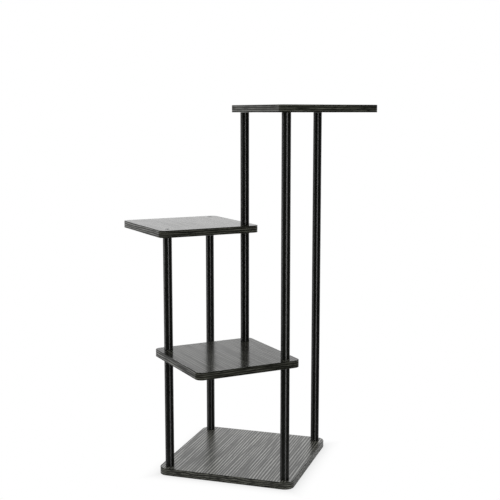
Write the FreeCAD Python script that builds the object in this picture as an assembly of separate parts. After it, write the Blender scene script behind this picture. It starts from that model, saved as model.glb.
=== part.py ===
import FreeCAD, Part
import math
import os

# Plant stand: four black boards on five round steel posts.
# A square base carries four posts at its corners. Three equal square shelves
# follow, one level apart, each over the middle of one side of the base and
# turned 45 degrees to it. A shelf meets three posts and leaves one corner free:
# two are corner posts, and the third is a post over the middle of the base.
# Lengths are in millimetres. X runs right, Y runs back and Z runs up. The origin
# is on the floor, under the centre of the base.

# Layout
post_spacing = 300.0  # from one corner post's axis to the next, along X and along Y
level_pitch = 300.0  # from the underside of one level's board to the next one's
shelf_turn = 45.0  # degrees, from the base to a shelf

# Boards
board_thickness = 18.0
base_margin = 24.0  # from a corner post's axis to the base's edges beside it
shelf_margin = 28.0  # from a post's axis to the shelf's edges beside it
base_corner_radius = 24.0
shelf_corner_radius = 16.0
band_thickness = 2.0  # the band that is glued round each board's edge
band_edge_radius = 1.2  # rounding of the band's upper and lower edge

# Tubes of the posts
tube_diameter = 22.0
tube_wall = 1.2
tube_end_radius = 0.6  # rounding of a tube's end outside

# Threaded plugs in the ends of the tubes
plug_length = 18.0
plug_setback = 0.3  # from the tube's end in to the plug, so that the tube bears
plug_clearance = 0.05  # between the plug and the tube's bore, all round
plug_chamfer = 0.8  # at the mouth of the plug's thread and round its inner end

# Threads of the screws and studs
thread_diameter = 6.0
thread_clearance = 0.05  # between a thread and the plug round it, all round
thread_chamfer = 0.7  # at a thread's end
thread_engagement = 12.0  # length of thread that holds in a plug
hole_clearance = 0.3  # between a thread and the board round it, all round

# Countersunk heads of the screws, whose cone slopes at 45 degrees
head_diameter = 12.0
head_rim = 0.4  # height of the straight rim above the cone
head_recess = 0.3  # from the board's face in to the head
head_clearance = 0.2  # between the rim and the board, all round
socket_width = 4.0  # across the flats of the hexagonal socket
socket_depth = 2.4

# How far a cutting solid runs on past the faces that it opens
overrun = 1.0

# The boards from the floor up, one on each level, and the posts that each meets
board_posts = {
    "base": ("front_left", "front_right", "back_right", "back_left"),
    "lower_shelf": ("front_left", "front_right", "centre"),
    "left_shelf": ("front_left", "back_left", "centre"),
    "top_shelf": ("front_right", "back_right", "centre"),
}

# Where the boards and the posts stand in the plan
half_spacing = post_spacing / 2
board_places = {
    "base": (0, 0),
    "lower_shelf": (0, -half_spacing),
    "left_shelf": (-half_spacing, 0),
    "top_shelf": (half_spacing, 0),
}
post_places = {
    "front_left": (-half_spacing, -half_spacing),
    "front_right": (half_spacing, -half_spacing),
    "back_right": (half_spacing, half_spacing),
    "back_left": (-half_spacing, half_spacing),
    "centre": (0, 0),
}

# Sizes that follow
base_side = post_spacing + 2 * base_margin
shelf_side = math.hypot(half_spacing, half_spacing) + 2 * shelf_margin
tube_bore = tube_diameter - 2 * tube_wall
plug_diameter = tube_bore - 2 * plug_clearance
plug_bore = thread_diameter + 2 * thread_clearance
board_hole = thread_diameter + 2 * hole_clearance
cone_height = (head_diameter - thread_diameter) / 2
seat_diameter = head_diameter + 2 * head_clearance
stud_reach = plug_setback + thread_engagement
screw_length = board_thickness - head_recess + stud_reach


# Placing

def vector(x, y, z):
    """A point or a direction."""
    return FreeCAD.Vector(x, y, z)


def moved(shape, place, height):
    """A copy of the shape, moved to a place in the plan and up to a height."""
    copy = shape.copy()
    copy.translate(vector(*place, height))
    return copy


def upside_down(shape, height):
    """A copy of the shape, turned over about a line along X at this height."""
    copy = shape.copy()
    copy.rotate(vector(0, 0, height), vector(1, 0, 0), 180)
    return copy


# Levels

def board_level(board):
    """The level of a board, where the base is on level 0."""
    return list(board_posts).index(board)


def board_bottom(board):
    """Height of the underside of a board."""
    return level_bottom(board_level(board))


def level_bottom(level):
    """Height of the underside of a board on this level."""
    return level * level_pitch


def level_top(level):
    """Height of the upper face of a board on this level."""
    return level_bottom(level) + board_thickness


def post_levels(post):
    """The levels on which a post meets a board, from its foot to its head."""
    return [board_level(board) for board, posts in board_posts.items() if post in posts]


def is_foot(post, board):
    """Whether the post stands on this board."""
    return board_level(board) == post_levels(post)[0]


def is_head(post, board):
    """Whether the post ends under this board."""
    return board_level(board) == post_levels(post)[-1]


def post_joints(post):
    """Every level from a post's foot to its head, and whether a board is clamped there."""
    levels = post_levels(post)
    return [(level, level in levels) for level in range(levels[0], levels[-1] + 1)]


def tube_spans(post):
    """Bottom and top of each tube. Where no board is clamped, one tube stands on the next."""
    joints = post_joints(post)
    spans = []
    for (level, _), (next_level, has_board) in zip(joints, joints[1:]):
        top = level_bottom(next_level) if has_board else level_top(next_level)
        spans.append((level_top(level), top))
    return spans


def tube_names(count):
    """Names of a post's tubes from the floor up."""
    return ["lower"] + ["middle"] * (count - 2) + ["upper"]


# Solids on the Z axis

def cylinder(diameter, bottom, top):
    """An upright cylinder between two heights."""
    return Part.makeCylinder(diameter / 2, top - bottom, vector(0, 0, bottom))


def cone(bottom_diameter, top_diameter, bottom, top):
    """An upright cone between two heights."""
    return Part.makeCone(bottom_diameter / 2, top_diameter / 2, top - bottom, vector(0, 0, bottom))


def hexagon(width, bottom, top):
    """An upright hexagonal prism between two heights, its width measured across the flats."""
    corner_circle = width / 2 / math.cos(math.tau / 12)
    corners = []
    for corner in range(7):
        angle = math.tau * corner / 6
        corners.append(vector(corner_circle * math.cos(angle), corner_circle * math.sin(angle), bottom))
    return Part.Face(Part.makePolygon(corners)).extrude(vector(0, 0, top - bottom))


def rounded_square(side, corner_radius):
    """A square board with its underside at zero and its four upright edges rounded."""
    plate = Part.makeBox(side, side, board_thickness, vector(-side / 2, -side / 2, 0))
    upright = [edge for edge in plate.Edges if edge.BoundBox.ZLength > board_thickness / 2]
    return plate.makeFillet(corner_radius, upright)


def end_edges(shape):
    """The outlines of the shape's lowest and highest face."""
    faces = sorted(shape.Faces, key=lambda face: face.CenterOfMass.z)
    return faces[0].OuterWire.Edges + faces[-1].OuterWire.Edges


def threaded_rod(bottom, top):
    """A plain rod in place of a thread, chamfered at both ends."""
    end_diameter = thread_diameter - 2 * thread_chamfer
    shank = cylinder(thread_diameter, bottom + thread_chamfer, top - thread_chamfer)
    lower_end = cone(end_diameter, thread_diameter, bottom, bottom + thread_chamfer)
    upper_end = cone(thread_diameter, end_diameter, top - thread_chamfer, top)
    return shank.fuse([lower_end, upper_end]).removeSplitter()


# Pieces

def screw():
    """A countersunk screw, head up, in a board with its underside at zero."""
    top = board_thickness - head_recess
    rim_bottom = top - head_rim
    rim = cylinder(head_diameter, rim_bottom, top)
    head = cone(thread_diameter, head_diameter, rim_bottom - cone_height, rim_bottom)
    rod = threaded_rod(top - screw_length, rim_bottom - cone_height + thread_chamfer)
    socket = hexagon(socket_width, top - socket_depth, top + overrun)
    return rod.fuse([head, rim]).removeSplitter().cut(socket)


def screw_hole():
    """Cutter for the hole and the countersink of a screw, head up."""
    cone_bottom = board_thickness - head_recess - head_rim - cone_height
    seat_bottom_to_top = (seat_diameter - thread_diameter) / 2
    cone_top = cone_bottom + seat_bottom_to_top
    hole = cylinder(board_hole, -overrun, cone_top)
    seat = cone(thread_diameter, seat_diameter, cone_bottom, cone_top)
    mouth = cylinder(seat_diameter, cone_top, board_thickness + overrun)
    return hole.fuse([seat, mouth])


def stud_hole():
    """Cutter for a stud's hole through a board."""
    return cylinder(board_hole, -overrun, board_thickness + overrun)


def plug():
    """The threaded plug in the lower end of a tube that starts at zero."""
    bottom = plug_setback
    top = plug_setback + plug_length
    body = cylinder(plug_diameter, bottom, top - plug_chamfer)
    nose = cone(plug_diameter, plug_diameter - 2 * plug_chamfer, top - plug_chamfer, top)
    bore = cylinder(plug_bore, bottom - overrun, top + overrun)
    mouth = cone(plug_bore + 2 * plug_chamfer, plug_bore, bottom, bottom + plug_chamfer)
    return body.fuse(nose).cut([bore, mouth])


def tube(bottom, top):
    """One tube of a post, its ends rounded outside."""
    bar = cylinder(tube_diameter, bottom, top)
    bar = bar.makeFillet(tube_end_radius, end_edges(bar))
    return bar.cut(cylinder(tube_bore, bottom - overrun, top + overrun))


def board_outline(board, inset):
    """A board as a plain plate in its place, its outline drawn in by an inset."""
    if board == "base":
        outline = rounded_square(base_side - 2 * inset, base_corner_radius - inset)
    else:
        outline = rounded_square(shelf_side - 2 * inset, shelf_corner_radius - inset)
        outline.rotate(vector(0, 0, 0), vector(0, 0, 1), shelf_turn)
    return moved(outline, board_places[board], board_bottom(board))


def set_in_board(solid, board, post):
    """A screw or its cutter in its place in a board, turned over if the post stands on the board."""
    if is_foot(post, board):
        solid = upside_down(solid, board_thickness / 2)
    return moved(solid, post_places[post], board_bottom(board))


def screws(board):
    """The screws of a board, one for each post that starts or ends there."""
    posts = [post for post in board_posts[board] if is_foot(post, board) or is_head(post, board)]
    return [set_in_board(screw(), board, post) for post in posts]


def panel(board):
    """The laminated panel of a board, with a hole for the screw or stud of each post."""
    holes = []
    for post in board_posts[board]:
        has_screw = is_foot(post, board) or is_head(post, board)
        hole = screw_hole() if has_screw else stud_hole()
        holes.append(set_in_board(hole, board, post))
    return board_outline(board, band_thickness).cut(holes)


def edge_band(board):
    """The band round a board's edge, rounded above and below."""
    outline = board_outline(board, 0)
    outline = outline.makeFillet(band_edge_radius, end_edges(outline))
    return outline.cut(board_outline(board, band_thickness))


def stud(post, level, has_board):
    """The stud that joins two tubes of a post, through the board on that level if there is one."""
    bottom = level_bottom(level) if has_board else level_top(level)
    rod = threaded_rod(bottom - stud_reach, level_top(level) + stud_reach)
    return moved(rod, post_places[post], 0)


# Named nodes, each a list of solids

def board_nodes(board):
    """A board's panel, edge band and screws."""
    made = {f"{board}_panel": [panel(board)], f"{board}_edge_band": [edge_band(board)]}
    board_screws = screws(board)
    screw_node = f"{board}_screws" if len(board_screws) > 1 else f"{board}_screw"
    made[screw_node] = board_screws
    return made


def post_nodes(post):
    """A post's tubes, and the plugs in both ends of every tube."""
    spans = tube_spans(post)
    post_place = post_places[post]
    plugs = []
    made = {f"{post}_plugs": plugs}
    for name, (bottom, top) in zip(tube_names(len(spans)), spans):
        made[f"{post}_{name}_tube"] = [moved(tube(bottom, top), post_place, 0)]
        plugs.append(moved(plug(), post_place, bottom))
        plugs.append(moved(upside_down(plug(), 0), post_place, top))
    return made


def stud_nodes():
    """The studs of all the posts, those through a shelf apart from those between bare tubes."""
    made = {"shelf_studs": [], "tube_studs": []}
    for post in post_places:
        for level, has_board in post_joints(post)[1:-1]:
            kind = "shelf_studs" if has_board else "tube_studs"
            made[kind].append(stud(post, level, has_board))
    return made


def stand_nodes():
    """Every node of the stand."""
    made = stud_nodes()
    for board in board_posts:
        made.update(board_nodes(board))
    for post in post_places:
        made.update(post_nodes(post))
    return made


os.makedirs("parts", exist_ok=True)
for name, solids in stand_nodes().items():
    shape = Part.makeCompound(solids) if len(solids) > 1 else solids[0]
    shape.exportStep(f"parts/{name}.step")
    state = "valid" if shape.isValid() else "not valid"
    print(name, len(shape.Solids), "solids", round(shape.Volume), "mm3", state)
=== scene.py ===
"""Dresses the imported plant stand: woodgrain boards on painted posts, and what holds them together.

Lengths are in metres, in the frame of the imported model: X runs right, Y back and Z up, and the
origin is on the floor under the centre of the base.
"""

import logging
import math
from dataclasses import dataclass, replace
from enum import Enum

import bpy
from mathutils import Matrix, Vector


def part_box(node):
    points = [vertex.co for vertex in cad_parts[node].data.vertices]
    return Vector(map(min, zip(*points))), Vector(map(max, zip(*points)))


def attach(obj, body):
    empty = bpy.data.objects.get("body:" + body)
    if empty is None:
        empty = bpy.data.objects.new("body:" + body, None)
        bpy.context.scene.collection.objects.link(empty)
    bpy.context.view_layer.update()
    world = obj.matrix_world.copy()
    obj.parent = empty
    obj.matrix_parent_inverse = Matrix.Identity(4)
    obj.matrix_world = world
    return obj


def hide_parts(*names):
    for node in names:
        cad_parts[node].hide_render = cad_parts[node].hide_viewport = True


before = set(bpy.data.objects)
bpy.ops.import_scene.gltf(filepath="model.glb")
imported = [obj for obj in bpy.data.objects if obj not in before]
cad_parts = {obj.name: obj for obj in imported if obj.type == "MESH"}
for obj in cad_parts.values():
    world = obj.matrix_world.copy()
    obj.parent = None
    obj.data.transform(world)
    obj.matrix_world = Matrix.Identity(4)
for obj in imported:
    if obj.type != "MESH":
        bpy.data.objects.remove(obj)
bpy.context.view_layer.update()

LOG = logging.getLogger("plant_stand")
BODY = "root"
RUN_MAP = "edge_run"
MM = 0.001
WHOLE_TURN = 2 * math.pi
QUARTER_TURN = math.pi / 2
BOARD_SIDES = 4

Colour = tuple[float, float, float]
Point = tuple[float, float, float]
Face = tuple[int, ...]
Section = list[tuple[float, float]]
Outline = list[tuple[Vector, Vector, float]]
Socket = bpy.types.NodeSocket
Sockets = bpy.types.bpy_prop_collection
Number = Socket | float
Shade = Socket | Colour


# Named options


class Slot(Enum):
    """The names of two material slots in the record; nothing here gives them to a piece."""

    EDGE_BAND = "edge_band"
    TUBE = "tube"


class Turn(Enum):
    """How a board is turned in the plan, in radians from the base."""

    SQUARE = 0.0
    DIAMOND = math.pi / 4


class Surface(Enum):
    """What the woodgrain film covers."""

    FACE = "board_face"
    EDGE = "board_edge"


class Kind(Enum):
    """What a socket of a node group holds."""

    NUMBER = "NodeSocketFloat"
    VECTOR = "NodeSocketVector"


# Shader trees


class Wiring:
    """Adds nodes to one shader tree and links them."""

    spot_detail = 1.0  # how many finer layers spots have

    def __init__(self, tree: bpy.types.NodeTree) -> None:
        """Takes the tree that the nodes go in."""
        self.tree = tree

    @classmethod
    def blank(cls, owner: bpy.types.ID) -> "Wiring":
        """Clears the tree of a material or a world.

        Args:
            owner: The material or the world.

        Returns:
            The wiring of its tree.
        """
        owner.use_nodes = True
        owner.node_tree.nodes.clear()
        return cls(owner.node_tree)

    def add(self, kind: str, **settings: object) -> bpy.types.Node:
        """Adds a node.

        Args:
            kind: Blender's name for the type of node, without its ShaderNode.
            settings: The node's own properties.

        Returns:
            The new node.
        """
        node = self.tree.nodes.new("ShaderNode" + kind)
        for name, value in settings.items():
            setattr(node, name, value)
        return node

    def feed(self, target: Socket, source: object) -> None:
        """Links an output to an input, or writes a plain value on it.

        Args:
            target: The input.
            source: An output to link, or the value.
        """
        if isinstance(source, Socket):
            self.tree.links.new(source, target)
        elif target.type == "RGBA":
            target.default_value = (*source, 1.0)
        else:
            target.default_value = source

    def put_out(self, kind: str, shader: Socket) -> None:
        """Adds an output node of that kind and feeds it the shader."""
        self.feed(self.add(kind).inputs["Surface"], shader)

    def coordinates(self, kind: str = "Object") -> Socket:
        """Returns one of the texture coordinates."""
        return self.add("TexCoord").outputs[kind]

    def math(self, operation: str, first: Number, second: Number = 0.0) -> Socket:
        """Works out one sum.

        Args:
            operation: Blender's name for it.
            first: The first number.
            second: The second number, where the sum has one.

        Returns:
            The result.
        """
        node = self.add("Math", operation=operation)
        self.feed(node.inputs[0], first)
        self.feed(node.inputs[1], second)
        return node.outputs[0]

    def vector(self, x: Number, y: Number, z: Number) -> Socket:
        """Joins three numbers into one vector.

        Args:
            x: Its first part.
            y: Its second part.
            z: Its third part.

        Returns:
            The vector.
        """
        node = self.add("CombineXYZ")
        for target, source in zip(node.inputs, (x, y, z)):
            self.feed(target, source)
        return node.outputs[0]

    def split(self, vector: Socket) -> Sockets:
        """Takes a vector apart.

        Args:
            vector: The vector.

        Returns:
            Its three parts.
        """
        node = self.add("SeparateXYZ")
        self.feed(node.inputs[0], vector)
        return node.outputs

    def noise(self, place: Socket, detail: float, scale: Number = 1.0) -> Socket:
        """Lays soft noise on a place.

        Args:
            place: The place.
            detail: How many finer layers the noise has.
            scale: How many of its spots fit in one unit of the place.

        Returns:
            The noise, mostly between 0.3 and 0.7.
        """
        node = self.add("TexNoise", noise_dimensions="3D")
        self.feed(node.inputs["Vector"], place)
        self.feed(node.inputs["Scale"], scale)
        self.feed(node.inputs["Detail"], detail)
        return node.outputs[0]

    def spots(self, place: Socket, rate: Number, levels: tuple[float, float]) -> Socket:
        """Lays noise at a rate of spots, and eases it so that two levels become 0 and 1."""
        return self.span(self.noise(place, self.spot_detail, rate), *levels)

    def span(
        self, value: Socket, low: float, high: float, start: float = 0.0, end: float = 1.0
    ) -> Socket:
        """Eases a value from one range into another, and holds it there.

        Args:
            value: The value.
            low: Where the first range starts.
            high: Where it ends.
            start: What low becomes.
            end: What high becomes.

        Returns:
            The new value.
        """
        node = self.add("MapRange", interpolation_type="SMOOTHSTEP")
        for target, source in zip(node.inputs, (value, low, high, start, end)):
            self.feed(target, source)
        return node.outputs[0]

    def blend(self, mask: Socket, first: Shade, second: Shade) -> Socket:
        """Mixes two colours by a mask.

        Args:
            mask: 0 where the first colour shows and 1 where the second does.
            first: A colour, or an output that holds one.
            second: The other colour.

        Returns:
            The mixed colour.
        """
        node = self.add("Mix", data_type="RGBA")
        self.feed(node.inputs["Factor"], mask)
        ends = [socket for socket in node.inputs if socket.type == "RGBA"]
        for target, source in zip(ends, (first, second)):
            self.feed(target, source)
        return next(socket for socket in node.outputs if socket.type == "RGBA")

    def choose(self, mask: Socket, first: Number, second: Number) -> Socket:
        """Mixes two numbers by a mask.

        Args:
            mask: 0 for the first and 1 for the second.
            first: A number, or an output that holds one.
            second: The other number.

        Returns:
            The mixed number.
        """
        node = self.add("Mix", data_type="FLOAT")
        numbers = [socket for socket in node.inputs if socket.type == "VALUE"]
        for target, source in zip(numbers, (mask, first, second)):
            self.feed(target, source)
        return next(socket for socket in node.outputs if socket.type == "VALUE")

    def bump(self, height: Socket, depth: float) -> Socket:
        """Turns a height into a normal.

        Args:
            height: The height, from 0 to 1.
            depth: What 1 stands for.

        Returns:
            The normal.
        """
        node = self.add("Bump")
        self.feed(node.inputs["Distance"], depth)
        self.feed(node.inputs["Height"], height)
        return node.outputs["Normal"]


# Effects that several finishes share


class Effect:
    """A shader node group with named inputs, and numbers as outputs."""

    name: str
    inputs: dict[str, Kind]
    outputs: tuple[str, ...]

    def tree(self) -> bpy.types.NodeTree:
        """Returns the effect's group, which is built the first time."""
        return bpy.data.node_groups.get(self.name) or self.build()

    def build(self) -> bpy.types.NodeTree:
        """Builds the group and its sockets.

        Returns:
            The group.
        """
        group = bpy.data.node_groups.new(self.name, "ShaderNodeTree")
        for name, kind in self.inputs.items():
            group.interface.new_socket(name, in_out="INPUT", socket_type=kind.value)
        for name in self.outputs:
            group.interface.new_socket(name, in_out="OUTPUT", socket_type=Kind.NUMBER.value)
        wiring = Wiring(group)
        given = group.nodes.new("NodeGroupInput").outputs
        taken = group.nodes.new("NodeGroupOutput").inputs
        for name, source in self.draw(wiring, given).items():
            wiring.feed(taken[name], source)
        return group

    def draw(self, wiring: Wiring, given: Sockets) -> dict[str, Socket]:
        """Adds the nodes and returns what feeds each output, in the effect's own way."""
        raise NotImplementedError

    def put(self, wiring: Wiring, **values: object) -> Sockets:
        """Places the effect in a material or a world.

        Args:
            wiring: The wiring of the material or the world.
            values: What each input gets.

        Returns:
            The effect's outputs by name.
        """
        node = wiring.tree.nodes.new("ShaderNodeGroup")
        node.node_tree = self.tree()
        for name, value in values.items():
            wiring.feed(node.inputs[name], value)
        return node.outputs


@dataclass(frozen=True)
class Layer:
    """One layer of a grain: drawn-out noise that is eased between two levels."""

    width: float  # share of the lines' pitch
    length: float  # share of the lines' length
    detail: float = 0.0
    low: float = 0.0
    high: float = 1.0
    least: float = 0.0  # what the low level becomes, while the high one becomes 1


class StraightGrain(Effect):
    """Straight wood grain. Its place runs across the grain, along it, and up."""

    name = "straight_grain"
    inputs = {
        "Place": Kind.VECTOR,
        "Pitch": Kind.NUMBER,
        "Length": Kind.NUMBER,
        "Waver": Kind.NUMBER,
        "Breadth": Kind.NUMBER,
    }
    outputs = ("Lines", "Fibres", "Pores", "Cloud", "Height")

    drift = Layer(3.0, 0.7)
    masks = {
        "Strength": Layer(0.55, 0.35, detail=1.0, low=0.34, high=0.58, least=0.25),
        "Fibres": Layer(0.20, 0.30, detail=2.0, low=0.36, high=0.66),
        "Pores": Layer(0.10, 0.08, low=0.60, high=0.68),
        "Cloud": Layer(7.0, 1.5, detail=1.0, low=0.36, high=0.64),
    }
    middle = 0.5  # the level of the drift's noise that leaves a line where it is
    rise_rate = 5.0  # spots for each metre up, so that no two boards are alike
    wave_levels = (0.0, 0.9)  # the levels of a line's wave that become 0 and 1
    line_height = 0.5  # what lines and fibres add to the relief, and what pores take away
    fibre_height = 0.3
    pore_height = 0.45

    def noise(
        self,
        wiring: Wiring,
        place: tuple[Socket, Socket, Socket],
        sizes: tuple[Socket, Socket],
        layer: Layer,
    ) -> Socket:
        """Lays the noise of one layer.

        Args:
            wiring: The group's wiring.
            place: Across, along and up.
            sizes: The lines' pitch and length.
            layer: The layer.

        Returns:
            The noise.
        """
        spots = []
        for distance, size, share in zip(place, sizes, (layer.width, layer.length)):
            spots.append(wiring.math("DIVIDE", distance, wiring.math("MULTIPLY", size, share)))
        return wiring.noise(wiring.vector(*spots, place[2]), layer.detail)

    def draw(self, wiring: Wiring, given: Sockets) -> dict[str, Socket]:
        """Adds the grain's nodes.

        Args:
            wiring: The group's wiring.
            given: The group's inputs by name.

        Returns:
            What feeds each output.
        """
        across, along, up = wiring.split(given["Place"])
        up = wiring.math("MULTIPLY", up, self.rise_rate)
        sizes = (given["Pitch"], given["Length"])
        drift = self.noise(wiring, (across, along, up), sizes, self.drift)
        drift = wiring.math("SUBTRACT", drift, self.middle)
        drift = wiring.math("MULTIPLY", drift, given["Waver"])
        place = (wiring.math("ADD", across, drift), along, up)
        masks = {}
        for name, layer in self.masks.items():
            noise = self.noise(wiring, place, sizes, layer)
            masks[name] = wiring.span(noise, layer.low, layer.high, layer.least)
        turns = wiring.math("DIVIDE", place[0], given["Pitch"])
        waves = wiring.math("SINE", wiring.math("MULTIPLY", turns, WHOLE_TURN))
        waves = wiring.math("ADD", waves, given["Breadth"])
        lines = wiring.span(waves, *self.wave_levels)
        lines = wiring.math("MULTIPLY", lines, masks.pop("Strength"))
        raised = wiring.math("MULTIPLY", lines, self.line_height)
        fuzz = wiring.math("MULTIPLY", masks["Fibres"], self.fibre_height)
        holes = wiring.math("MULTIPLY", masks["Pores"], self.pore_height)
        height = wiring.math("SUBTRACT", wiring.math("ADD", raised, fuzz), holes)
        return {"Lines": lines, "Height": height, **masks}


class FineDust(Effect):
    """Dust that has settled on what faces up."""

    name = "fine_dust"
    inputs = {"Place": Kind.VECTOR, "Speck": Kind.NUMBER}
    outputs = ("Dust",)

    colour: Colour = (0.20, 0.195, 0.18)
    flat = (0.7, 0.98)  # how far up a face looks, from where dust starts to where it is full
    speck_levels = (0.55, 0.75)
    drift_levels = (0.38, 0.62)
    drift_share = 40.0  # the size of a drift in specks

    def draw(self, wiring: Wiring, given: Sockets) -> dict[str, Socket]:
        """Adds the dust's nodes.

        Args:
            wiring: The group's wiring.
            given: The group's inputs by name.

        Returns:
            What feeds each output.
        """
        upward = wiring.split(wiring.add("NewGeometry").outputs["Normal"])[2]
        upward = wiring.span(upward, *self.flat)
        rate = wiring.math("DIVIDE", 1.0, given["Speck"])
        specks = wiring.spots(given["Place"], rate, self.speck_levels)
        slow = wiring.math("DIVIDE", rate, self.drift_share)
        drifts = wiring.spots(given["Place"], slow, self.drift_levels)
        dust = wiring.math("MULTIPLY", specks, drifts)
        return {"Dust": wiring.math("MULTIPLY", dust, upward)}


class Mottle(Effect):
    """The small unevenness of a sprayed or plated coat."""

    name = "mottle"
    inputs = {"Place": Kind.VECTOR, "Spot": Kind.NUMBER}
    outputs = ("Mottle", "Height")

    levels = (0.35, 0.65)
    patch_share = 14.0  # the size of a patch in spots
    part_share = 0.5  # what the spots and the patches each add

    def draw(self, wiring: Wiring, given: Sockets) -> dict[str, Socket]:
        """Adds the mottle's nodes.

        Args:
            wiring: The group's wiring.
            given: The group's inputs by name.

        Returns:
            What feeds each output.
        """
        rate = wiring.math("DIVIDE", 1.0, given["Spot"])
        spots = wiring.spots(given["Place"], rate, self.levels)
        slow = wiring.math("DIVIDE", rate, self.patch_share)
        patches = wiring.spots(given["Place"], slow, self.levels)
        both = wiring.math("ADD", spots, patches)
        return {"Mottle": wiring.math("MULTIPLY", both, self.part_share), "Height": spots}


# Finishes


class Finish:
    """A material that is built once and then shared."""

    name: str

    def title(self) -> str:
        """Returns the material's name."""
        return self.name

    def material(self) -> bpy.types.Material:
        """Returns the finish's material, which is built the first time."""
        return bpy.data.materials.get(self.title()) or self.build()

    def build(self) -> bpy.types.Material:
        """Builds the material round one Principled shader.

        Returns:
            The material.
        """
        made = bpy.data.materials.new(self.title())
        wiring = Wiring.blank(made)
        shader = wiring.add("BsdfPrincipled")
        wiring.put_out("OutputMaterial", shader.outputs[0])
        for name, source in self.draw(wiring).items():
            wiring.feed(shader.inputs[name], source)
        return made

    def draw(self, wiring: Wiring) -> dict[str, object]:
        """Adds the nodes and returns what feeds the shader, in the finish's own way."""
        raise NotImplementedError


@dataclass(frozen=True)
class Woodgrain(Finish):
    """Black woodgrain film with open pores, on a board's faces or on its edge band."""

    surface: Surface
    turn: Turn
    smooth: float  # roughness on the ridges
    rough: float  # and in the grooves
    gloss: float  # specular level under the clear coat
    bare: float  # weight of the clear coat in the grooves
    coated: float  # and on the ridges
    coat_roughness: float
    groove: Colour = (0.0040, 0.0042, 0.0029)
    # ridge colour with painted light in it: this default, which the base's faces keep, is lightened
    # as a painted highlight on the grain lines
    ridge_with_painted_light: Colour = (0.260, 0.2615, 0.226)
    pore: Colour = (0.0012, 0.0013, 0.0009)
    fibre_tint: float = 0.36
    cloud_tint: float = 0.30
    dust_tint: float = 0.05
    pitch: float = 7.4 * MM  # from line to line
    length: float = 420 * MM
    waver: float = 7 * MM  # how far a line strays
    breadth: float = 0.15  # widens the lines, up to 1
    depth: float = 0.02 * MM
    speck: float = 1.4 * MM  # the size of a speck of dust

    def title(self) -> str:
        """Returns the material's name."""
        return f"{self.surface.value}_{self.turn.name.lower()}"

    def across_and_along(self, wiring: Wiring) -> Socket:
        """Lays the pattern's place across the grain, along it, and up.

        Args:
            wiring: The material's wiring.

        Returns:
            The place.
        """
        if self.surface is Surface.FACE:
            mapping = wiring.add("Mapping")
            wiring.feed(mapping.inputs["Rotation"], (0.0, 0.0, -self.turn.value))
            wiring.feed(mapping.inputs["Vector"], wiring.coordinates())
            return mapping.outputs[0]
        along, round_section, _ = wiring.split(wiring.add("UVMap", uv_map=RUN_MAP).outputs[0])
        return wiring.vector(round_section, along, wiring.split(wiring.coordinates())[2])

    def draw(self, wiring: Wiring) -> dict[str, object]:
        """Adds the grain, its colours and its relief.

        Args:
            wiring: The material's wiring.

        Returns:
            What feeds each of the shader's sockets.
        """
        grain = StraightGrain().put(
            wiring,
            Place=self.across_and_along(wiring),
            Pitch=self.pitch,
            Length=self.length,
            Waver=self.waver,
            Breadth=self.breadth,
        )
        tone = wiring.math("MULTIPLY", grain["Fibres"], self.fibre_tint)
        tone = wiring.math("MAXIMUM", tone, grain["Lines"])
        shade = wiring.math("MULTIPLY", grain["Cloud"], self.cloud_tint)
        tone = wiring.math("MULTIPLY", tone, wiring.math("SUBTRACT", 1.0, shade))
        colour = wiring.blend(tone, self.groove, self.ridge_with_painted_light)
        colour = wiring.blend(grain["Pores"], colour, self.pore)
        dust = FineDust().put(wiring, Place=wiring.coordinates(), Speck=self.speck)["Dust"]
        dust = wiring.math("MULTIPLY", dust, self.dust_tint)
        return {
            "Base Color": wiring.blend(dust, colour, FineDust.colour),
            "Roughness": wiring.span(grain["Height"], 0.0, 1.0, self.rough, self.smooth),
            "Specular IOR Level": self.gloss,
            "Coat Weight": wiring.span(grain["Lines"], 0.0, 1.0, self.bare, self.coated),
            "Coat Roughness": self.coat_roughness,
            "Normal": wiring.bump(grain["Height"], self.depth),
        }


@dataclass(frozen=True)
class PaintedSteel(Finish):
    """Black powder coat on the tubes."""

    name: str = "black_powder_coat"
    deep: Colour = (0.0010, 0.0011, 0.0008)
    worn: Colour = (0.0034, 0.0036, 0.0028)
    spot: float = 1.1 * MM
    smooth: float = 0.36
    rough: float = 0.40
    gloss: float = 0.32  # specular level
    depth: float = 0.001 * MM
    stretch: float = 0.96  # of the highlight
    stretch_turn: float = 0.25  # of a whole turn, so that it runs up and down the tube

    def draw(self, wiring: Wiring) -> dict[str, object]:
        """Adds the coat's orange peel and its slow change of tone.

        Args:
            wiring: The material's wiring.

        Returns:
            What feeds each of the shader's sockets.
        """
        coat = Mottle().put(wiring, Place=wiring.coordinates(), Spot=self.spot)
        return {
            "Base Color": wiring.blend(coat["Mottle"], self.deep, self.worn),
            "Roughness": wiring.span(coat["Mottle"], 0.0, 1.0, self.smooth, self.rough),
            "Specular IOR Level": self.gloss,
            "Anisotropic": self.stretch,
            "Anisotropic Rotation": self.stretch_turn,
            "Tangent": wiring.add("Tangent", direction_type="RADIAL", axis="Z").outputs[0],
            "Normal": wiring.bump(coat["Height"], self.depth),
        }


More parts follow.
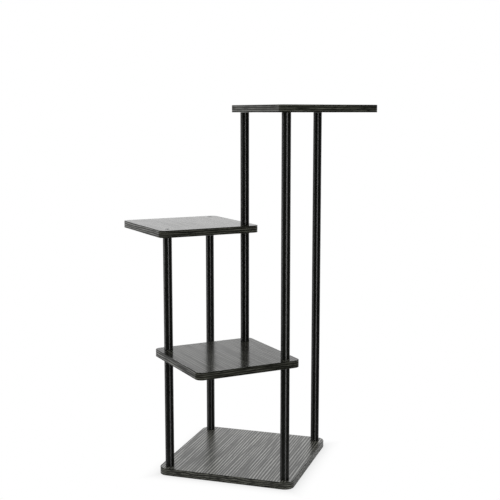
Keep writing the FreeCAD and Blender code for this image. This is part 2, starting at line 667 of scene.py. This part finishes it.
@dataclass(frozen=True)
class BareMetal(Finish):
    """Plated or blackened steel of the fixings."""

    name: str
    dark: Colour
    light: Colour
    spot: float = 0.8 * MM
    smooth: float = 0.26
    rough: float = 0.42
    depth: float = 0.01 * MM
    dust_tint: float = 0.12

    def draw(self, wiring: Wiring) -> dict[str, object]:
        """Adds the plating's spots, and the dust on it.

        Args:
            wiring: The material's wiring.

        Returns:
            What feeds each of the shader's sockets.
        """
        place = wiring.coordinates()
        coat = Mottle().put(wiring, Place=place, Spot=self.spot)
        colour = wiring.blend(coat["Mottle"], self.dark, self.light)
        dust = FineDust().put(wiring, Place=place, Speck=self.spot)["Dust"]
        dust = wiring.math("MULTIPLY", dust, self.dust_tint)
        return {
            "Base Color": wiring.blend(dust, colour, FineDust.colour),
            "Metallic": 1.0,
            "Roughness": wiring.span(coat["Mottle"], 0.0, 1.0, self.smooth, self.rough),
            "Normal": wiring.bump(coat["Height"], self.depth),
        }


# The base's faces and the shelves' faces are one laminate: the base's lighter ridges are a painted
# highlight on the grain lines, the shelves' darker ridges a painted shade
BASE_FACE = Woodgrain(
    Surface.FACE,
    Turn.SQUARE,
    smooth=0.28,
    rough=0.34,
    gloss=0.68,
    bare=0.0,
    coated=1.0,
    coat_roughness=0.28,
)
SHELF_FACE = replace(
    BASE_FACE,
    turn=Turn.DIAMOND,
    # darker ridge colour: painted shade on the shelves' grain lines
    ridge_with_painted_light=(0.095, 0.0955, 0.081),
    smooth=0.12,
    rough=0.18,
    gloss=0.13,
    bare=0.08,
    coated=0.36,
    coat_roughness=0.08,
)
BASE_EDGE = Woodgrain(
    Surface.EDGE,
    Turn.SQUARE,
    groove=(0.0030, 0.0032, 0.0021),
    # ridge colour with painted light: lighter on the base's band than on the shelves' bands
    ridge_with_painted_light=(0.120, 0.1215, 0.096),
    pitch=5.0 * MM,
    length=50 * MM,
    waver=8 * MM,
    breadth=0.35,
    smooth=0.20,
    rough=0.34,
    gloss=0.08,
    bare=0.24,
    coated=1.0,
    coat_roughness=0.28,
)
SHELF_EDGE = replace(
    BASE_EDGE,
    turn=Turn.DIAMOND,
    # darker ridge colour: painted shade on the shelves' bands
    ridge_with_painted_light=(0.094, 0.095, 0.075),
    length=180 * MM,
    waver=4 * MM,
    bare=0.0,
)
BOARD_FACE = {finish.turn: finish for finish in (BASE_FACE, SHELF_FACE)}
BOARD_EDGE = {finish.turn: finish for finish in (BASE_EDGE, SHELF_EDGE)}
POWDER_COAT = PaintedSteel()
ZINC = BareMetal("zinc_plate", dark=(0.36, 0.36, 0.35), light=(0.55, 0.55, 0.53))
BLACK_OXIDE = BareMetal("black_oxide", dark=(0.022, 0.022, 0.021), light=(0.050, 0.049, 0.046))


# Meshes


def add_object(name: str, data: bpy.types.ID) -> bpy.types.Object:
    """Puts a mesh, a lamp or a camera in the scene.

    Args:
        name: The object's name.
        data: The mesh, the lamp or the camera.

    Returns:
        The object.
    """
    added = bpy.data.objects.new(name, data)
    bpy.context.scene.collection.objects.link(added)
    return added


def new_piece(name: str, points: list[Point], faces: list[Face]) -> bpy.types.Object:
    """Makes a smooth piece that keeps its flat faces flat.

    Args:
        name: The piece's name.
        points: Its corners.
        faces: The corners of each face, by number.

    Returns:
        The piece.
    """
    mesh = bpy.data.meshes.new(name)
    mesh.from_pydata(points, [], faces)
    mesh.validate()
    mesh.shade_smooth()
    piece = add_object(name, mesh)
    even = piece.modifiers.new("flat_faces", "WEIGHTED_NORMAL")
    even.mode = "FACE_AREA"
    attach(piece, BODY)
    return piece


def dress(piece: bpy.types.Object, finish: Finish) -> None:
    """Gives a piece or a CAD node one finish all over, and reports it.

    Args:
        piece: The piece or node.
        finish: The finish.
    """
    if not piece.material_slots:
        piece.data.materials.append(finish.material())
    for slot in piece.material_slots:
        slot.material = finish.material()
    LOG.info("%s: %s", piece.name, finish.title())


def arc(start: float, turn: float, steps: int) -> list[float]:
    """Divides an arc into equal steps and returns their angles, with both ends."""
    return [start + turn * step / steps for step in range(steps + 1)]


def turned(vector: Vector, angle: float) -> Vector:
    """Turns a vector in the plan."""
    cosine, sine = math.cos(angle), math.sin(angle)
    return Vector((vector.x * cosine - vector.y * sine, vector.x * sine + vector.y * cosine))


def wall_section(thickness: float, radius: float, steps: int, low: float, high: float) -> Section:
    """Goes once round the section of a wall whose outer edges are rounded.

    Args:
        thickness: How thick the wall is.
        radius: The radius of the rounding.
        steps: How many parts each rounding has.
        low: The height of the wall's foot.
        high: The height of its top.

    Returns:
        The distance in from the outside and the height of each point.
    """
    section = [(thickness, low)]
    for angle in arc(0.0, QUARTER_TURN, steps):
        rise = radius * (1 - math.cos(angle))
        section.append((radius * (1 - math.sin(angle)), low + rise))
    for angle in arc(0.0, QUARTER_TURN, steps):
        drop = radius * (1 - math.sin(angle))
        section.append((radius * (1 - math.cos(angle)), high - drop))
    section.append((thickness, high))
    return section


def ring_faces(rings: int, steps: int) -> list[Face]:
    """Joins rings of points into a closed tube that also closes on itself.

    Args:
        rings: How many rings there are.
        steps: How many points each has.

    Returns:
        The corners of each face.
    """
    faces = []
    for ring in range(rings):
        here, after = ring * steps, (ring + 1) % rings * steps
        for step in range(steps):
            beside = (step + 1) % steps
            faces.append((here + step, after + step, after + beside, here + beside))
    return faces


# Boards


@dataclass
class EdgeBand:
    """The band glued round a board, with its upper and lower edges rounded."""

    board: str
    turn: Turn
    corner_radius: float
    thickness: float = 2.0 * MM
    edge_radius: float = 1.2 * MM
    side_steps: int = 12
    corner_steps: int = 14
    edge_steps: int = 6

    @property
    def node(self) -> str:
        """The CAD node that the band replaces."""
        return f"{self.board}_edge_band"

    def side(self) -> float:
        """Works out the length of the board's side from the node's box.

        Returns:
            The length.
        """
        low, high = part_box(self.node)
        width = high.x - low.x
        if self.turn is Turn.SQUARE:
            return width
        diagonal = width / 2 - self.corner_radius
        return 2 * (diagonal * math.cos(self.turn.value) + self.corner_radius)

    def before_turn(self) -> list[tuple[Vector, Vector]]:
        """Goes once round the board as it is before its turn, from the right end of its back.

        Returns:
            Each point about the board's centre, and the way out there.
        """
        half = self.side() / 2
        core = half - self.corner_radius
        steps = []
        for number in range(1, BOARD_SIDES + 1):
            out = QUARTER_TURN * number
            away = Vector((math.cos(out), math.sin(out)))
            along = Vector((-away.y, away.x))
            for step in range(self.side_steps):
                share = step / self.side_steps
                steps.append((away * half + along * core * (2 * share - 1), away))
            for angle in arc(out, QUARTER_TURN, self.corner_steps)[:-1]:
                bent = Vector((math.cos(angle), math.sin(angle)))
                steps.append((away * core + along * core + bent * self.corner_radius, bent))
        return steps

    def outline(self) -> Outline:
        """Goes once round the board in its place.

        Returns:
            Each point, the way out there, and the distance gone.
        """
        low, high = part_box(self.node)
        centre = (low + high) / 2
        steps = self.before_turn()
        outline, gone, last = [], 0.0, steps[0][0]
        for point, away in steps:
            gone += (point - last).length
            last = point
            place = turned(point, self.turn.value) + centre.xy
            outline.append((place, turned(away, self.turn.value), gone))
        return outline

    def build(self) -> None:
        """Sweeps the band's section round the board."""
        low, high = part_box(self.node)
        section = wall_section(self.thickness, self.edge_radius, self.edge_steps, low.z, high.z)
        outline = self.outline()
        points = []
        for point, away, _ in outline:
            for inset, height in section:
                place = point - away * inset
                points.append((place.x, place.y, height))
        faces = ring_faces(len(outline), len(section))
        band = new_piece(f"{self.board}_band", points, faces)
        self.lay_run(band, outline, section)
        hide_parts(self.node)
        dress(band, BOARD_EDGE[self.turn])

    def lay_run(self, band: bpy.types.Object, outline: Outline, section: Section) -> None:
        """Maps the distance along the band and round its section.

        Args:
            band: The band.
            outline: The outline that it follows.
            section: The section that was swept.
        """
        spans = [0.0]
        for last, point in zip(section, section[1:]):
            spans.append(spans[-1] + math.dist(last, point))
        runs = [gone for _, _, gone in outline]
        whole = runs[-1] + (outline[0][0] - outline[-1][0]).length
        girth = spans[-1] + math.dist(section[-1], section[0])
        layer = band.data.uv_layers.new(name=RUN_MAP)
        count = len(section)
        for face in band.data.polygons:
            last_ring = face.index // count == len(outline) - 1
            last_step = face.index % count == count - 1
            for corner in face.loop_indices:
                ring, step = divmod(band.data.loops[corner].vertex_index, count)
                run = whole if last_ring and ring == 0 else runs[ring]
                span = girth if last_step and step == 0 else spans[step]
                layer.data[corner].uv = (run, span)


@dataclass
class Board:
    """A laminated panel, the band round its edge and the screws through it."""

    name: str
    turn: Turn
    corner_radius: float
    screws: str

    def build(self) -> None:
        """Dresses the panel and its screws, and builds the band."""
        dress(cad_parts[f"{self.name}_panel"], BOARD_FACE[self.turn])
        EdgeBand(self.name, self.turn, self.corner_radius).build()
        dress(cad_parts[self.screws], BLACK_OXIDE)


# Posts


@dataclass
class Tube:
    """One length of a post, with its ends rounded outside."""

    node: str
    wall: float = 1.2 * MM
    end_radius: float = 0.6 * MM
    steps_round: int = 72
    end_steps: int = 4

    def build(self) -> bpy.types.Object:
        """Turns the wall's section about the tube's axis.

        Returns:
            The tube.
        """
        low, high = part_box(self.node)
        axis = (low + high) / 2
        radius = (high.x - low.x) / 2
        section = wall_section(self.wall, self.end_radius, self.end_steps, low.z, high.z)
        points = []
        for angle in arc(0.0, WHOLE_TURN, self.steps_round)[:-1]:
            cosine, sine = math.cos(angle), math.sin(angle)
            for inset, height in section:
                reach = radius - inset
                points.append((axis.x + reach * cosine, axis.y + reach * sine, height))
        faces = ring_faces(self.steps_round, len(section))
        tube = new_piece(f"{self.node}_coated", points, faces)
        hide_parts(self.node)
        dress(tube, POWDER_COAT)
        return tube


@dataclass
class Post:
    """The tubes of one post and the plugs in their ends."""

    name: str

    def build(self) -> list[bpy.types.Object]:
        """Builds the post's tubes and dresses its plugs.

        Returns:
            The tubes.
        """
        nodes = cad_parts
        own = sorted(node for node in nodes if node.startswith(f"{self.name}_"))
        tubes = [Tube(node).build() for node in own if node.endswith("_tube")]
        dress(nodes[f"{self.name}_plugs"], ZINC)
        return tubes


# The whole stand


@dataclass
class Studs:
    """The threaded studs that join tubes end to end."""

    nodes: tuple[str, ...] = ("shelf_studs", "tube_studs")

    def build(self) -> None:
        """Dresses the studs."""
        for node in self.nodes:
            dress(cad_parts[node], BLACK_OXIDE)


@dataclass
class PlantStand:
    """The four boards, the five posts and the studs between tubes."""

    base_corner: float = 24 * MM
    shelf_corner: float = 16 * MM
    posts: tuple[str, ...] = ("front_left", "front_right", "back_right", "back_left", "centre")

    def build(self) -> list[bpy.types.Object]:
        """Builds and dresses every piece.

        Returns:
            The tubes.
        """
        boards = (
            Board("base", Turn.SQUARE, self.base_corner, "base_screws"),
            Board("lower_shelf", Turn.DIAMOND, self.shelf_corner, "lower_shelf_screw"),
            Board("left_shelf", Turn.DIAMOND, self.shelf_corner, "left_shelf_screws"),
            Board("top_shelf", Turn.DIAMOND, self.shelf_corner, "top_shelf_screws"),
        )
        for board in boards:
            board.build()
        tubes = []
        for post in self.posts:
            tubes.extend(Post(post).build())
        Studs().build()
        return tubes


# Studio


class RoomDepth(Effect):
    """How white the room is in each direction: it is white behind the stand and dim in front."""

    name = "room_depth"
    inputs = {"Direction": Kind.VECTOR}
    outputs = ("White",)

    sweep = (-0.44, 0.90, 0.0)  # the way to the middle of the white part
    rim = (0.32, 0.58)  # how nearly a way points there, from where white starts to full white
    dim = 0.06  # how white the rest is

    def draw(self, wiring: Wiring, given: Sockets) -> dict[str, Socket]:
        """Adds the room's nodes.

        Args:
            wiring: The group's wiring.
            given: The group's inputs by name.

        Returns:
            What feeds each output.
        """
        unit = wiring.add("VectorMath", operation="NORMALIZE")
        wiring.feed(unit.inputs[0], given["Direction"])
        facing = wiring.add("VectorMath", operation="DOT_PRODUCT")
        wiring.feed(facing.inputs[0], unit.outputs[0])
        wiring.feed(facing.inputs[1], self.sweep)
        return {"White": wiring.span(facing.outputs["Value"], *self.rim, self.dim)}


@dataclass(frozen=True)
class Backdrop:
    """White surroundings that are dim in front, and a pale floor that runs out into them."""

    floor_radius: float = 40.0
    floor_steps: int = 96
    pale: Colour = (0.96, 0.96, 0.96)
    seen_fade: tuple[float, float] = (0.10, 0.22)  # how far out the floor turns white to look at
    gloss_fade: tuple[float, float] = (0.21, 0.30)  # and how far out it does so in gloss
    surround: float = 0.78  # the level of the surroundings as a light

    def seen(self, wiring: Wiring, path: Sockets) -> Socket:
        """Returns 1 for rays from the camera, straight or through glass, and 0 for others."""
        return wiring.math("MAXIMUM", path["Is Camera Ray"], path["Is Transmission Ray"])

    def light(self, wiring: Wiring, way: str, otherwise: float) -> Socket:
        """Works out how bright the surroundings are for each kind of ray.

        Args:
            wiring: The wiring of the floor or of the world.
            way: The texture coordinate that points away from the stand.
            otherwise: The level for the rays that light the stand.

        Returns:
            1 for what the camera sees, the room's level in gloss, and the given one for the rest.
        """
        path = wiring.add("LightPath").outputs
        room = RoomDepth().put(wiring, Direction=wiring.coordinates(way))
        level = wiring.choose(path["Is Glossy Ray"], otherwise, room["White"])
        return wiring.choose(self.seen(wiring, path), level, 1.0)

    def build_world(self) -> None:
        """Makes the world white to look at and a little dimmer where it lights the stand."""
        world = bpy.data.worlds.new("surroundings")
        wiring = Wiring.blank(world)
        background = wiring.add("Background")
        wiring.feed(background.inputs["Color"], self.light(wiring, "Generated", self.surround))
        wiring.put_out("OutputWorld", background.outputs[0])
        bpy.context.scene.world = world

    def floor_material(self) -> bpy.types.Material:
        """Makes a pale floor that turns white away from the stand.

        Returns:
            The material.
        """
        made = bpy.data.materials.new("pale_floor")
        wiring = Wiring.blank(made)
        distance = wiring.add("VectorMath", operation="ABSOLUTE")
        wiring.feed(distance.inputs[0], wiring.coordinates())
        right, back, _ = wiring.split(distance.outputs[0])
        beside = wiring.math("MAXIMUM", right, back)
        path = wiring.add("LightPath").outputs
        seen, gloss = self.seen(wiring, path), path["Is Glossy Ray"]
        seen = wiring.math("MULTIPLY", seen, wiring.span(beside, *self.seen_fade))
        gloss = wiring.math("MULTIPLY", gloss, wiring.span(beside, *self.gloss_fade))
        matte = wiring.add("BsdfDiffuse")
        wiring.feed(matte.inputs["Color"], self.pale)
        white = wiring.add("Emission")
        wiring.feed(white.inputs["Color"], self.light(wiring, "Object", 1.0))
        mixed = wiring.add("MixShader")
        wiring.feed(mixed.inputs[0], wiring.math("MAXIMUM", seen, gloss))
        wiring.feed(mixed.inputs[1], matte.outputs[0])
        wiring.feed(mixed.inputs[2], white.outputs[0])
        wiring.put_out("OutputMaterial", mixed.outputs[0])
        return made

    def build_floor(self) -> None:
        """Lays the floor as one disc."""
        points = []
        for angle in arc(0.0, WHOLE_TURN, self.floor_steps)[:-1]:
            across, back = math.cos(angle), math.sin(angle)
            points.append((self.floor_radius * across, self.floor_radius * back, 0.0))
        mesh = bpy.data.meshes.new("floor")
        mesh.from_pydata(points, [], [tuple(range(self.floor_steps))])
        mesh.materials.append(self.floor_material())
        floor = add_object("floor", mesh)


@dataclass(frozen=True)
class Softbox:
    """A plain rectangular lamp, placed by its direction from the middle of the stand."""

    name: str
    azimuth: float  # degrees from -Y towards +X, as seen from above
    elevation: float  # degrees above level
    distance: float
    width: float
    height: float
    radiance: float
    tubes_only: bool = False
    aim: Point = (0.0, 0.0, 0.45)

    def build(self, tubes: list[bpy.types.Object]) -> None:
        """Hangs the lamp and turns it to the stand.

        Args:
            tubes: The stand's tubes.
        """
        lamp = bpy.data.lights.new(self.name, "AREA")
        lamp.shape = "RECTANGLE"
        lamp.size, lamp.size_y = self.width, self.height
        lamp.energy = self.radiance * math.pi * self.width * self.height
        hung = add_object(self.name, lamp)
        turn, rise = math.radians(self.azimuth), math.radians(self.elevation)
        across, front = math.sin(turn) * math.cos(rise), math.cos(turn) * math.cos(rise)
        away = Vector((across, -front, math.sin(rise)))
        hung.location = Vector(self.aim) + away * self.distance
        hung.rotation_euler = away.to_track_quat("Z", "Y").to_euler()
        hung.visible_camera = False
        if self.tubes_only:
            lit = bpy.data.collections.new(f"{self.name}_lights")
            for tube in tubes:
                lit.objects.link(tube)
            hung.light_linking.receiver_collection = lit


@dataclass(frozen=True)
class Viewpoint:
    """The camera of the photograph."""

    place: Point = (0.7603, -2.3279, 0.8979)
    heading: float = 17.78  # degrees from +Y towards -X
    dip: float = 8.01  # degrees below level
    lens: float = 69.96  # millimetres, like the sensor
    sensor: float = 36.0

    def build(self) -> None:
        """Sets the scene's camera."""
        camera = bpy.data.cameras.new("camera")
        camera.lens = self.lens
        camera.sensor_width = self.sensor
        stand = add_object("camera", camera)
        stand.location = self.place
        tilt, heading = QUARTER_TURN - math.radians(self.dip), math.radians(self.heading)
        stand.rotation_euler = (tilt, 0.0, heading)
        bpy.context.scene.camera = stand


KEY = Softbox("key", azimuth=-52, elevation=42, distance=3.0, width=1.4, height=1.4, radiance=2.2)
LEFT_STRIP = Softbox(
    "left_strip",
    azimuth=-69,
    elevation=2,
    distance=1.2,
    width=0.34,
    height=0.95,
    radiance=6.0,
    tubes_only=True,
)
FRONT_STRIP = replace(
    LEFT_STRIP, name="front_strip", azimuth=38, distance=1.4, width=0.50, radiance=11.0
)


@dataclass(frozen=True)
class Studio:
    """The surroundings, the floor, the lamps and the camera."""

    backdrop: Backdrop = Backdrop()
    lamps: tuple[Softbox, ...] = (KEY, LEFT_STRIP, FRONT_STRIP)
    viewpoint: Viewpoint = Viewpoint()

    def build(self, tubes: list[bpy.types.Object]) -> None:
        """Builds it all.

        Args:
            tubes: The stand's tubes, which the strip lamps are kept to.
        """
        bpy.context.scene.view_settings.view_transform = "Standard"
        self.backdrop.build_world()
        self.backdrop.build_floor()
        for lamp in self.lamps:
            lamp.build(tubes)
        self.viewpoint.build()


# The scene


def main() -> None:
    """Builds the stand, and then the studio round it."""
    logging.basicConfig(level=logging.INFO, format="%(message)s")
    tubes = PlantStand().build()
    Studio().build(tubes)


if __name__ == "__main__":
    main()
